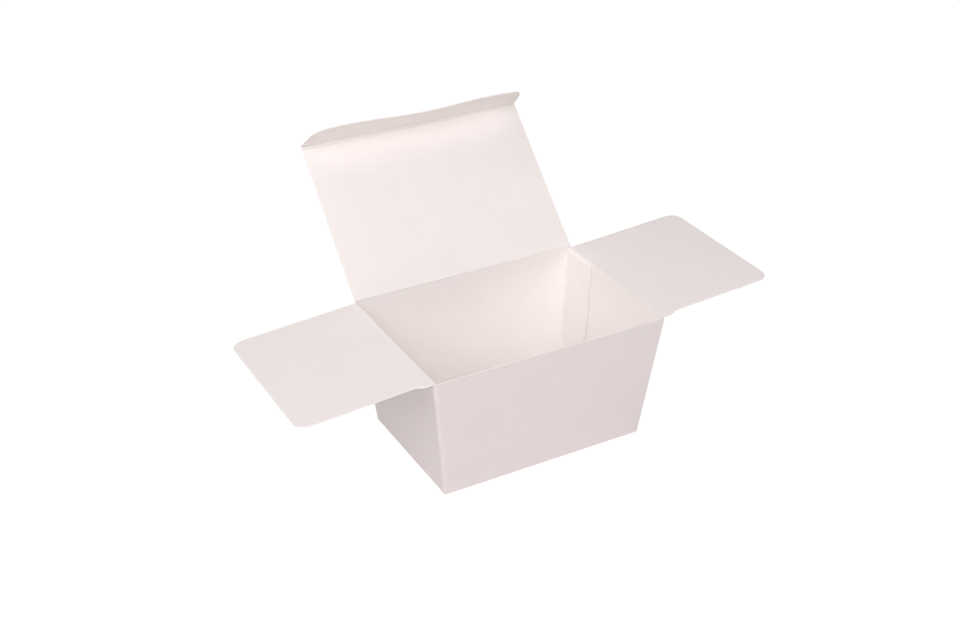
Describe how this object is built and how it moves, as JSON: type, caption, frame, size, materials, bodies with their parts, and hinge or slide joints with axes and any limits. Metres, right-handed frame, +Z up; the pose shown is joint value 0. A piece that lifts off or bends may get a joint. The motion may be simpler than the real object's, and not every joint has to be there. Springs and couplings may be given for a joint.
{
  "type": "ballotin box",
  "caption": "Open white card sweet box with outward-leaning walls, a dust flap at each end and a back-hinged lid with a rounded tuck flap.",
  "frame": {"origin": "middle of the base, on the surface that the box stands on", "axes": "+X along the front of the box to the right, +Y from front to back, +Z up"},
  "size_m": [0.2166, 0.1252, 0.1193],
  "materials": {
    "body_board": "white folding boxboard, matt",
    "lid_board": "white folding boxboard, matt",
    "tuck_board": "white folding boxboard, matt",
    "flap_board": "white folding boxboard, matt"
  },
  "bodies": {
    "box": {"box_body": "body_board"},
    "lid": {"lid": "lid_board"},
    "tuck": {"tuck_flap": "tuck_board"},
    "left_flap": {"left_flap": "flap_board"},
    "right_flap": {"right_flap": "flap_board"}
  },
  "joints": [
    {"name": "lid_crease", "type": "hinge", "parent": "box", "child": "lid", "pos_m": [0, 0.03625, 0.0575], "axis": [1, 0, 0], "range_deg": [-63.3, 136.7]},
    {"name": "tuck_crease", "type": "hinge", "parent": "lid", "child": "tuck", "pos_m": [0, 0.08774, 0.10602], "axis": [1, 0, 0], "range_deg": [-3.25, 7]},
    {"name": "left_flap_crease", "type": "hinge", "parent": "box", "child": "left_flap", "pos_m": [-0.05268, 0, 0.05685], "axis": [0, 1, 0], "range_deg": [-16, 186]},
    {"name": "right_flap_crease", "type": "hinge", "parent": "box", "child": "right_flap", "pos_m": [0.05268, 0, 0.05685], "axis": [0, -1, 0], "range_deg": [-23.8, 176.7]}
  ],
  "couplings": [
    {"joint": "tuck_crease", "follows": "lid_crease", "ratio": 0.0512}
  ]
}
